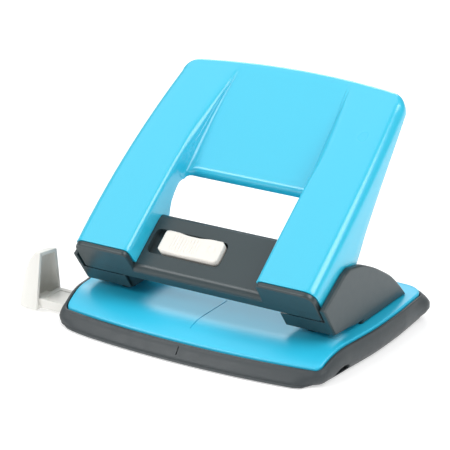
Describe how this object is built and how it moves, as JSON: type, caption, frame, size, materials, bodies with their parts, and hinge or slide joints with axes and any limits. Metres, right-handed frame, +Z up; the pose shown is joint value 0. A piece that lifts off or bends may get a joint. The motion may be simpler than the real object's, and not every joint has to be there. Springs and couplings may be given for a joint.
{
  "type": "hole punch",
  "caption": "Desktop paper punch with a wide raised lever handle, two sprung punch pins in side housings, a sliding lock, a pull-out paper guide and a soft chip tray base.",
  "frame": {"origin": "on the plane of symmetry of the base, on the underside of the chip tray, level with the middle of the tray from front to back", "axes": "+Z up from the resting face, +X to the right along the line of the two punch pins, +Y from the paper side towards the pressed end of the handle"},
  "size_m": [0.1348, 0.09, 0.0863],
  "materials": {
    "blue_enamel": "glossy moulded handle shell, slightly softened by fine handling marks",
    "blue_steel": "gloss powder-painted pressed steel",
    "grey_plastic": "satin moulded plastic with a fine grain",
    "soft_grey_plastic": "soft flexible plastic, matt with a fine grain",
    "cream_plastic": "satin cream moulded plastic with grip ribs",
    "white_plastic": "satin off-white moulded plastic",
    "zinc_steel": "zinc plated steel, satin",
    "hardened_steel": "ground and polished hardened steel",
    "spring_wire": "drawn spring wire, semi-bright"
  },
  "bodies": {
    "base": {"base_plate": "blue_steel", "side_cover_left": "grey_plastic", "side_cover_right": "grey_plastic", "punch_bracket_left": "zinc_steel", "punch_bracket_right": "zinc_steel", "bracket_rivet_front_left": "zinc_steel", "bracket_rivet_front_right": "zinc_steel", "bracket_rivet_rear_left": "zinc_steel", "bracket_rivet_rear_right": "zinc_steel", "pivot_pin_left": "hardened_steel", "pivot_pin_right": "hardened_steel", "return_spring_left": "spring_wire", "return_spring_right": "spring_wire"},
    "handle": {"handle_cover": "blue_enamel", "handle_frame": "grey_plastic", "press_roller_left": "hardened_steel", "press_roller_right": "hardened_steel", "cover_screw_left": "zinc_steel", "cover_screw_right": "zinc_steel"},
    "lock": {"lock_slider": "cream_plastic", "lock_rod": "hardened_steel"},
    "tray": {"chip_tray": "soft_grey_plastic"},
    "guide": {"paper_guide": "white_plastic"},
    "punch_left": {"punch_pin_left": "hardened_steel", "retaining_ring_left": "zinc_steel"},
    "punch_right": {"punch_pin_right": "hardened_steel", "retaining_ring_right": "zinc_steel"}
  },
  "joints": [
    {"name": "handle_swing", "type": "hinge", "parent": "base", "child": "handle", "pos_m": [0, -0.022, 0.024], "axis": [-1, 0, 0], "range_deg": [0, 31], "stiffness_Nm_per_rad": 0.15, "springref_deg": -34.38},
    {"name": "lock_slide", "type": "slide", "parent": "handle", "child": "lock", "axis": [-1, 0, 0], "range_m": [0, 0.0043]},
    {"name": "tray_swing", "type": "hinge", "parent": "base", "child": "tray", "pos_m": [0, 0.0435, 0.0104], "axis": [1, 0, 0], "range_deg": [0, 20]},
    {"name": "guide_slide", "type": "slide", "parent": "tray", "child": "guide", "axis": [-1, 0, 0], "range_m": [-0.01, 0.078]},
    {"name": "pin_travel_left", "type": "slide", "parent": "base", "child": "punch_left", "axis": [0, 0, -1], "range_m": [0, 0.00535], "deforming": ["return_spring_left"]},
    {"name": "pin_travel_right", "type": "slide", "parent": "base", "child": "punch_right", "axis": [0, 0, -1], "range_m": [0, 0.00535], "deforming": ["return_spring_right"]}
  ],
  "couplings": [
    {"joint": "pin_travel_left", "follows": "handle_swing", "m_per_rad": 0.009887},
    {"joint": "pin_travel_right", "follows": "handle_swing", "m_per_rad": 0.009887}
  ]
}
